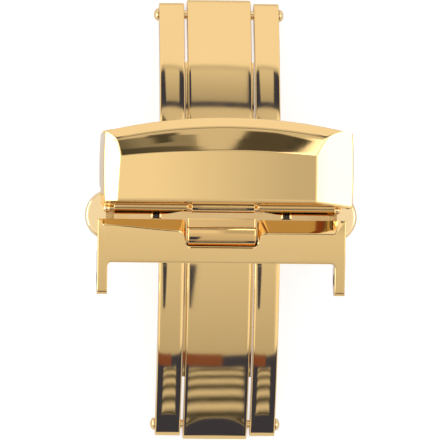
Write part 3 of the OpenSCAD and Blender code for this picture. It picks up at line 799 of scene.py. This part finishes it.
# Strap bar and tongue: a steel bar between the cover's walls, and a gold tongue that swings
# on it. The tongue's prong goes through a hole in the strap's free end.
BAR_Y, BAR_H = 4.0, 8.45
PRONG_Y, PRONG_R = 6.1, 0.25
piece("strap_bar_steel", [rolled(-8.9, 9.2, BAR_Y, BAR_H, 0.35, 0.06)], spring_steel, "upper_arm",
      ["strap_bar"])
pivot = np.array([BAR_Y, BAR_H])
reach = np.array([PRONG_Y, ARCH_Z + sqrt(CROSS_TOP**2 - PRONG_Y**2) + 0.3]) - pivot
ahead = reach / np.hypot(*reach)
above = np.array([-ahead[1], ahead[0]])
turn = np.linspace(pi / 2, -pi / 2, 14)[:, None]
prong_loop = np.concatenate([[pivot + PRONG_R * above],
                             pivot + reach + PRONG_R * (np.sin(turn) * above + np.cos(turn) * ahead),
                             [pivot - PRONG_R * above]])
tongue_gold = polished("tongue_gold", polish=0.07)
piece("strap_tongue_gold",
      [rolled(-0.8, 0.8, BAR_Y, BAR_H, 0.7, 0.1), side_prism(prong_loop, -0.5, 0.5, 0.08)],
      tongue_gold, "tongue", ["strap_tongue"])

# Lower hook plate: a thin sprung steel plate under the lug piece, with the lower arm's hooks.
broken_edges("lower_hook_plate_steel", "lower_hook_plate", spring_steel, "lower_arm", 0.03)

# Lug piece: one casting with a bridge across the lower arm, a notch for the centre roll, a
# front edge that slopes down to the lid, and the two strap lugs with their spring bar holes.
# Gold plated and mirror polished.
LUG_IN = 9.0
LUG_OUT = 9.8
LUG_TOP_R = ARCH_R + 2.6
BACK_Y = -3.45
FRONT_Y = -0.05
SLOPE = tan(radians(27.5))
UNDER_Z = 7.55
NOTCH_X, NOTCH_Y, NOTCH_CORNER = 2.85, -2.22, 0.4
FILLET = 0.36
LUG_AXIS_Y = -4.75
LUG_AXIS_Z = ARCH_Z + sqrt((ARCH_R + 1.35) ** 2 - LUG_AXIS_Y**2)
LUG_END = 1.25
RIM = 0.07
TIP_ROUND = 0.3
ARCHED_FROM = -2.6
CURL_LEFT, CURL_RIGHT = (9.4, 0.2), (8.75, 0.6)


def lug_top(y):
    """Height of the upper face: a circle about the arch's axis, with a small round at the tip."""
    past = np.clip(1 - (y - LUG_AXIS_Y + LUG_END) / TIP_ROUND, 0, 1)
    return ARCH_Z + np.sqrt(LUG_TOP_R**2 - y**2) - TIP_ROUND * (1 - np.sqrt(1 - past**2))


def lug_under(y, r):
    """Height of the underside: flat above the latch box, then a circle of radius r about the
    arch's axis, then the lower half of the lug's round end."""
    arch = ARCH_Z + np.sqrt(r**2 - y**2)
    end = LUG_AXIS_Z - np.sqrt(np.maximum(LUG_END**2 - (y - LUG_AXIS_Y) ** 2, 0))
    return np.where(y > ARCHED_FROM, UNDER_Z, np.where(y < LUG_AXIS_Y, end, arch))


def elbow(cx, cy, rx, ry, a0, a1):
    """A quarter of an ellipse in plan, without its first point."""
    a = np.linspace(a0, a1, 11)[1:]
    return np.stack([cx + rx * np.cos(a), cy + ry * np.sin(a)], -1)


def run(x0, y0, x1, y1, n):
    """A straight line in plan, without its first point."""
    return np.linspace([x0, y0], [x1, y1], n + 1)[1:]


def lug_half(left):
    """Three plan lines of the left or right half, point for point, from the lug's tip to the
    middle of the notch: the outer edge, the crease of the slope, and the inner edge with its
    fillet. Also how much each column is a slope rather than a lug's rounded rim."""
    q = pi / 2
    tip_y = LUG_AXIS_Y - LUG_END * np.sin(np.linspace(q, 0, 15))
    side_y = np.concatenate([tip_y, np.linspace(LUG_AXIS_Y, BACK_Y - FILLET, 6)[1:]])
    wall_y = np.concatenate([side_y, np.linspace(BACK_Y - FILLET, ARCHED_FROM - 0.01, 8)[1:],
                             np.linspace(ARCHED_FROM + 0.01, FRONT_Y, 14)])
    n_side, n_wall, n_front = len(side_y), len(wall_y), 70
    front_x = np.linspace(-LUG_OUT, -NOTCH_X - 0.3, n_front + 1)[1:]
    corner_x = -NOTCH_X + NOTCH_CORNER
    outer = np.concatenate([
        np.stack([np.full(n_wall, -LUG_OUT), wall_y], -1),
        np.stack([front_x, np.full(n_front, FRONT_Y)], -1),
        elbow(-NOTCH_X - 0.3, FRONT_Y - 0.3, 0.3, 0.3, q, 0),
        run(-NOTCH_X, FRONT_Y - 0.3, -NOTCH_X, NOTCH_Y + NOTCH_CORNER, 12),
        elbow(corner_x, NOTCH_Y + NOTCH_CORNER, NOTCH_CORNER, NOTCH_CORNER, 2 * q, 3 * q),
        run(corner_x, NOTCH_Y, 0, NOTCH_Y, 18)])
    from_end = front_x + LUG_OUT
    if left:
        crease_y = -0.12 - 0.38 * smooth(from_end / 0.5) - 0.47 * smooth(from_end / (LUG_OUT - NOTCH_X))
        bend_x, bend_y, neck_y, neck_x = -3.36, -0.97, -1.55, (-2.94, -2.93)
    else:
        crease_y = -0.12 - 0.98 * smooth(from_end / 0.9)
        bend_x, bend_y, neck_y, neck_x = -3.75, -1.1, -1.72, (-2.96, -2.94)
    crease = np.concatenate([
        np.stack([np.full(n_wall, -LUG_OUT + RIM), np.minimum(wall_y, FRONT_Y - RIM)], -1),
        np.stack([np.minimum(front_x, bend_x), crease_y], -1)[:-1], [[bend_x, bend_y]],
        elbow(bend_x, neck_y, neck_x[0] - bend_x, bend_y - neck_y, q, 0),
        run(neck_x[0], neck_y, neck_x[1], -1.8, 12),
        elbow(-2.5, -1.8, 0.43, 0.5, 2 * q, 3 * q), run(-2.5, -2.3, 0, -2.3, 18)])
    bend = np.linspace(0, q, n_wall - n_side + 9)
    fillet = np.stack([-LUG_IN + FILLET * (1 - np.cos(bend)), BACK_Y - FILLET + FILLET * np.sin(bend)], -1)
    inner = np.concatenate([np.stack([np.full(n_side, -LUG_IN), side_y], -1), fillet,
                            run(-LUG_IN + FILLET, BACK_Y, 0, BACK_Y, len(outer) - n_side - len(fillet))])
    slope = (np.arange(len(outer)) >= n_wall) * 1.0
    if not left:
        outer, crease, inner = outer * [-1, 1], crease * [-1, 1], inner * [-1, 1]
    return outer, crease, inner, slope


def lug_shell():
    """The whole casting as a closed profile carried along its U-shaped plan: up the outer
    wall, over the rim or up the slope to the crease, across the crowned top, over the inner
    rim, down the inner wall and back underneath."""
    outer, crease, inner, slope = (
        np.concatenate([left, right[::-1][1:]]) for left, right in zip(lug_half(True), lug_half(False)))
    x, y = outer.T
    curl = np.where(x < 0, smooth((-x - CURL_LEFT[0]) / CURL_LEFT[1]),
                    smooth((x - CURL_RIGHT[0]) / CURL_RIGHT[1]))
    end_z = lug_top(crease[:, 1])
    depth = np.maximum(SLOPE * np.linalg.norm(crease - outer, axis=1), 0.05)
    start_z = np.where(slope > 0, end_z - depth + (depth - 0.05) * curl, end_z - RIM)
    under = lug_under(y, np.where(slope > 0, CROSS_TOP, CROSS_R))
    under_in = lug_under(inner[:, 1], np.where(np.abs(inner[:, 0]) > LUG_IN - 0.01, CROSS_R, CROSS_TOP))
    plan, height = [outer, outer], [np.minimum(under, start_z - 0.1), start_z - 0.04]
    for share in (0, 0.1, 0.25, 0.45, 0.65, 0.85, 0.95, 1):
        plan.append(outer + (crease - outer) * share)
        rise = slope * share + (1 - slope) * sqrt(1 - (1 - share) ** 2)
        height.append(start_z + (end_z - start_z) * rise)
    to_inner = inner - crease
    span = np.maximum(np.linalg.norm(to_inner, axis=1), 1e-6)
    last = crease + to_inner * (1 - RIM / span)[:, None]
    for share in np.concatenate([[0.04, 0.12], np.linspace(0.2, 1, 9)]):
        plan.append(crease + (last - crease) * share)
        height.append(lug_top(plan[-1][:, 1]))
    for q in np.linspace(0, pi / 2, 6)[1:]:
        plan.append(last + (inner - last) * sin(q))
        height.append(lug_top(plan[-1][:, 1]) - RIM * (1 - cos(q)))
    plan += [inner, inner + (outer - inner) * 0.3, inner + (outer - inner) * 0.32]
    height += [under_in, np.minimum(under_in, under), np.minimum(under, start_z - 0.1)]
    return capped(np.concatenate([np.stack(plan), np.stack(height)[..., None]], -1))


def drilled(obj, shell):
    """Cuts a closed shell out of a piece and keeps the result as its mesh."""
    drill = added("drill", mesh_of("drill", [shell]))
    obj.modifiers.remove(obj.modifiers["flat_faces"])
    hole = obj.modifiers.new("hole", "BOOLEAN")
    hole.object = drill
    hole.solver = "EXACT"
    bpy.context.view_layer.update()
    done = bpy.data.meshes.new_from_object(obj.evaluated_get(bpy.context.evaluated_depsgraph_get()))
    obj.modifiers.clear()
    done.name = obj.name
    obj.data = done
    done.set_sharp_from_angle(angle=radians(38))
    obj.modifiers.new("flat_faces", "WEIGHTED_NORMAL").keep_sharp = True
    bpy.data.objects.remove(drill)


lug_gold = polished("lug_gold", polish=0.045, spread=0.02, marks=0.01)
lug = piece("lug_piece_gold", [lug_shell()], lug_gold, "lower_arm", ["lug_piece"])
drilled(lug, rolled(-12, 12, LUG_AXIS_Y, LUG_AXIS_Z, 0.5, 0.01))

# Camera: straight above, a little to the left, at the distance that gives the photo's view.
cam_data = bpy.data.cameras.new("camera")
camera = added("camera", cam_data)
bpy.context.scene.camera = camera
FOCAL_PX, PHOTO_PX = 5608.4, 440
CAMERA_AT = (-25.872 * MM, -2.155 * MM, 450.0 * MM)
TILT_X, TILT_Y, ROLL = 0.00473, -0.05814, 0.01007
cam_data.sensor_width = 36
cam_data.lens = cam_data.sensor_width * FOCAL_PX / PHOTO_PX
cam_data.clip_start = 0.01
cam_data.clip_end = 10
place = Matrix.Translation(CAMERA_AT)
for angle, axis in ((TILT_X, "X"), (TILT_Y, "Y"), (ROLL, "Z")):
    place = place @ Matrix.Rotation(angle, 4, axis)
camera.matrix_world = place

# Table: a plain white sheet, lit so that the camera sees it white with the clasp's shadow.
# It's clear when seen from below, so the clasp's underside can be looked at.
SHEET_HALF, SHEET_Z = 0.6, -0.00002
table_mesh = bpy.data.meshes.new("table")
sheet_corners = [(x * SHEET_HALF, y * SHEET_HALF, SHEET_Z) for x, y in ((-1, -1), (1, -1), (1, 1), (-1, 1))]
table_mesh.from_pydata(sheet_corners, [], [(0, 1, 2, 3)])
table = added("table", table_mesh)
sheet = bpy.data.materials.new("white_sheet")
sheet.use_nodes = True
t = sheet.node_tree
seen = node(t, "LightPath").outputs
glow = math_node(t, "MAXIMUM", seen["Is Camera Ray"], seen["Is Transmission Ray"])
glow = scaled(t, seen["Is Glossy Ray"], 0.3, math_node(t, "MULTIPLY", glow, 0.68))
for label, value in {"Base Color": (0.5, 0.5, 0.5, 1), "Roughness": 0.9, "Specular IOR Level": 0.1,
                     "Emission Color": (1, 1, 1, 1), "Emission Strength": glow}.items():
    feed(t, t.nodes["Principled BSDF"].inputs[label], value)


def shader_mix(tree, factor, a, b, end):
    """A Mix Shader node from shader a to shader b, linked to the tree's end node."""
    n = node(tree, "MixShader")
    for target, value in zip(n.inputs, (factor, a, b)):
        feed(tree, target, value)
    feed(tree, end.inputs["Surface"], n.outputs[0])


from_below = node(t, "NewGeometry").outputs["Backfacing"]
shader_mix(t, from_below, t.nodes["Principled BSDF"].outputs[0],
           node(t, "BsdfTransparent").outputs[0], t.nodes["Material Output"])
table_mesh.materials.append(sheet)

# Side card: a white card beside the clasp, built as a narrow area lamp. It stands to the left,
# leans back a little, and whitens the cover's left facet.
card_lamp = bpy.data.lights.new("side_card", "AREA")
card_lamp.shape = "RECTANGLE"
card_lamp.size, card_lamp.size_y = 40 * MM, 10.4 * MM
card_lamp.energy = 3.2 * 4 * card_lamp.size * card_lamp.size_y
card = added("side_card", card_lamp)
place = Matrix.Translation((-46 * MM, 4 * MM, 20 * MM))
for degrees, axis in ((90, "Z"), (-74, "X")):
    place = place @ Matrix.Rotation(radians(degrees), 4, axis)
card.matrix_world = place

# Studio: one wrap-round light tent, made in the world. Its walls are bright left and right, its
# roof is grey round the lens, and dark slots and stripes beyond show as lines in the polish.
# U is the angle from straight up towards +X and V towards +Y, both in degrees.
world = bpy.data.worlds.new("light_tent")
bpy.context.scene.world = world
world.use_nodes = True
t = world.node_tree
t.nodes.clear()

panel, p_in, p_out = group(
    "tent_panel", {"U": 0.0, "V": 0.0, "U From": -10.0, "U To": 10.0, "V From": -10.0, "V To": 10.0,
                   "U From Lean": 0.0, "U To Lean": 0.0, "Soft": 1.0}, {"Mask": "Float"})


def ramp_up(tree, value, start, soft):
    """0 below start, 1 above start + soft, straight between."""
    return math_node(tree, "DIVIDE", math_node(tree, "SUBTRACT", value, start), soft, clamp=True)


along = math_node(panel, "SUBTRACT", p_in["V"], p_in["V From"])
half_soft = math_node(panel, "MULTIPLY", p_in["Soft"], 0.5)
u_low = scaled(panel, along, p_in["U From Lean"], p_in["U From"])
u_high = scaled(panel, along, p_in["U To Lean"], p_in["U To"])
sides = []
for value, low, high in ((p_in["U"], u_low, u_high), (p_in["V"], p_in["V From"], p_in["V To"])):
    sides.append(ramp_up(panel, value, math_node(panel, "SUBTRACT", low, half_soft), p_in["Soft"]))
    sides.append(ramp_up(panel, math_node(panel, "ADD", high, half_soft), value, p_in["Soft"]))
mask = sides[0]
for s in sides[1:]:
    mask = math_node(panel, "MULTIPLY", mask, s)
feed(panel, p_out["Mask"], mask)

coords = node(t, "TexCoord").outputs["Generated"]
dx, dy, dz = node(t, "SeparateXYZ", Vector=coords).outputs
side_on = math_node(t, "SQRT", math_node(t, "ADD", math_node(t, "MULTIPLY", dy, dy),
                                         math_node(t, "MULTIPLY", dz, dz)))
U = math_node(t, "MULTIPLY", math_node(t, "ARCTAN2", dx, side_on), 180 / pi)
V = math_node(t, "MULTIPLY", math_node(t, "ARCTAN2", dy, dz), 180 / pi)


def paint(light, value, u0, u1, v0, v1, soft, lean=(0, 0), across=U, up=V):
    """Lays one panel of the tent over the light painted so far, and returns the new light. value
    is its radiance, a number or a colour or a socket, and lean is how its two upright sides
    shift for each degree of V."""
    area = node(t, "Group", node_tree=panel, **{
        "U": across, "V": up, "U From": u0, "U To": u1, "V From": v0, "V To": v1,
        "U From Lean": lean[0], "U To Lean": lean[1], "Soft": soft})
    if isinstance(value, (int, float)):
        value = (value, value, value, 1)
    return colour_mix(t, area.outputs["Mask"], light, value)


def fade(axis, a, b, value_a, value_b):
    """A grey that runs evenly from value_a where the angle is a to value_b where it is b."""
    return node(t, "MapRange", clamp=True, **{
        "Value": axis, "From Min": a, "From Max": b, "To Min": value_a, "To Max": value_b}).outputs[0]


FAR = 400
LEVEL = (0, 0)
MIDDLE_U = 3.3
DARK = (0.045, 0.055, 0.13, 1)
BROWN_DARK = (0.085, 0.08, 0.075, 1)
RED_DARK = (0.22, 0.085, 0.06, 1)
# SPAN runs like U from MIDDLE_U, but in rays from the roof's middle, so that it is in degrees
# where V is SPAN_V. The three tilted V axes rise to one side with it.
SPAN_V, SPAN_LEAST_V, BEND_SPAN = 20.0, 9.0, 2.13
SPAN = math_node(t, "DIVIDE", scaled(t, U, SPAN_V, -SPAN_V * MIDDLE_U),
                 math_node(t, "MAXIMUM", V, SPAN_LEAST_V))
left_v = scaled(t, SPAN, 0.6, V)
low_v = scaled(t, SPAN, 0.9, V)
past_bend = math_node(t, "MAXIMUM", math_node(t, "SUBTRACT", SPAN, BEND_SPAN), 0.0)
right_v = scaled(t, past_bend, 1.3, V)
# The stripes get wider downwards: they count up with the root of the depth below a bowed line.
BOW_HALF, BOW_DEPTH, BOW_V = 8.2, 1.6, -39.8
STRIPE_STEP, STRIPE_START = 0.657, 1.857
bow = scaled(t, U, 1 / BOW_HALF, -MIDDLE_U / BOW_HALF)
bow = math_node(t, "POWER", math_node(t, "ABSOLUTE", bow), 4.0)
depth = scaled(t, V, -1.0, scaled(t, bow, -BOW_DEPTH, BOW_V))
count_up = math_node(t, "SQRT", math_node(t, "MAXIMUM", depth, 0.0))
count_up = scaled(t, count_up, 2 * pi / STRIPE_STEP, -STRIPE_START * 2 * pi)
stripes = scaled(t, math_node(t, "COSINE", count_up), -0.34, 0.38, clamp=True)
panels = [
    # Roof: grey round the lens, with a lighter strip across it.
    (fade(V, -4, -41, 0.78, 0.5), -FAR, FAR, -41, -2, 1),
    (fade(U, 1.5, 5.1, 0.95, 0.6), -FAR, FAR, -2.5, 7, 2),
    (0.68, -FAR, FAR, 9, 31, 2),
    # Rolled facet: dark slots on the left, a bright end and a brown field on the right.
    (fade(SPAN, -4.8, -3.9, 0.15, 0.28), -FAR, -1.4, 11, 24, 0.15, LEVEL, SPAN, left_v),
    (fade(SPAN, -4.8, -1.4, 0.075, 0.13), -FAR, -1.4, 7, 16.8, 0.8, LEVEL, SPAN, low_v),
    (0.1, -3.55, -2.15, 25.2, 26.8, 0.2, LEVEL, SPAN),
    (0.07, -3.3, -2.5, 21.5, 26, 0.2, LEVEL, SPAN),
    (fade(SPAN, 3.7, 4.4, 1.0, 2.4), 3.5, FAR, 8, 26.5, 0.3, LEVEL, SPAN),
    (BROWN_DARK, 0.2, 3.3, 13, 26.9, 0.12, (0.045, 0.035), SPAN, right_v),
    (0.36, -1.4, 0.2, 12.5, 14.8, 0.4, LEVEL, SPAN),
    (0.045, 0.2, 0.6, 13, 22, 0.3, (0.045, 0.045), SPAN, right_v),
    (0.045, 2.8, 3.3, 19, 26.9, 0.3, (0.035, 0.035), SPAN, right_v),
    # Above it: a light band with dark corners, then the bright back wall.
    (fade(V, 33, 42, 0.45, 0.76), -FAR, FAR, 32.5, 42, 0.4),
    (DARK, -24, -4, 31, 43, 0.4, (0, -0.12)),
    (DARK, 10.2, 30, 31, 42, 0.4),
    (DARK, -24, 30, 31, 32.6, 0.3),
    (0.62, -FAR, FAR, 41.8, 42.8, 0.6),
    ((0.98, 0.98, 1.02, 1), -FAR, FAR, 43, 110, 0.8),
    # Below the lens: the dark front wall with its stripes, and a dark bar in the roof.
    (DARK, -FAR, FAR, -120, -37.2, 0.5),
    (RED_DARK, -16, 4.5, -40.2, -36.8, 0.4),
    (stripes, -3.6, 9.8, -56, -40.8, 0.6),
    (DARK, -6.2, -3.7, -24, -12, 0.4, (-0.1, 0.1)),
    # Side walls: bright, with a strong box in each, darker towards the front and the floor.
    (1.05, -82, -11, -36, 30, 2),
    (1.05, 14, 82, -36, 30, 2),
    (3.5, -66, -50, -25, 14, 3),
    (fade(U, 36, 46, 2.7, 3.4), 33, 66, -10, 14, 2),
    (0.9, -82, -15, -110, -60, 4),
    (0.9, 20, 82, -110, -60, 4),
    (0.9, -82, -38, -110, -37, 4),
    (0.9, 40, 82, -110, -37, 4),
    (0.75, -16, 21, -110, -69, 8),
    (0.1, 82, 100, -FAR, FAR, 4),
    (0.1, -100, -82, -FAR, FAR, 4)]
light = (0.5, 0.5, 0.5, 1)
for settings in panels:
    light = paint(light, *settings)
tent = node(t, "Background", Color=light, Strength=1.0).outputs[0]
plain = node(t, "Background", Color=(1, 1, 1, 1)).outputs[0]
seen = node(t, "LightPath").outputs["Is Camera Ray"]
shader_mix(t, seen, tent, plain, node(t, "OutputWorld"))

bpy.context.scene.view_settings.view_transform = "Standard"
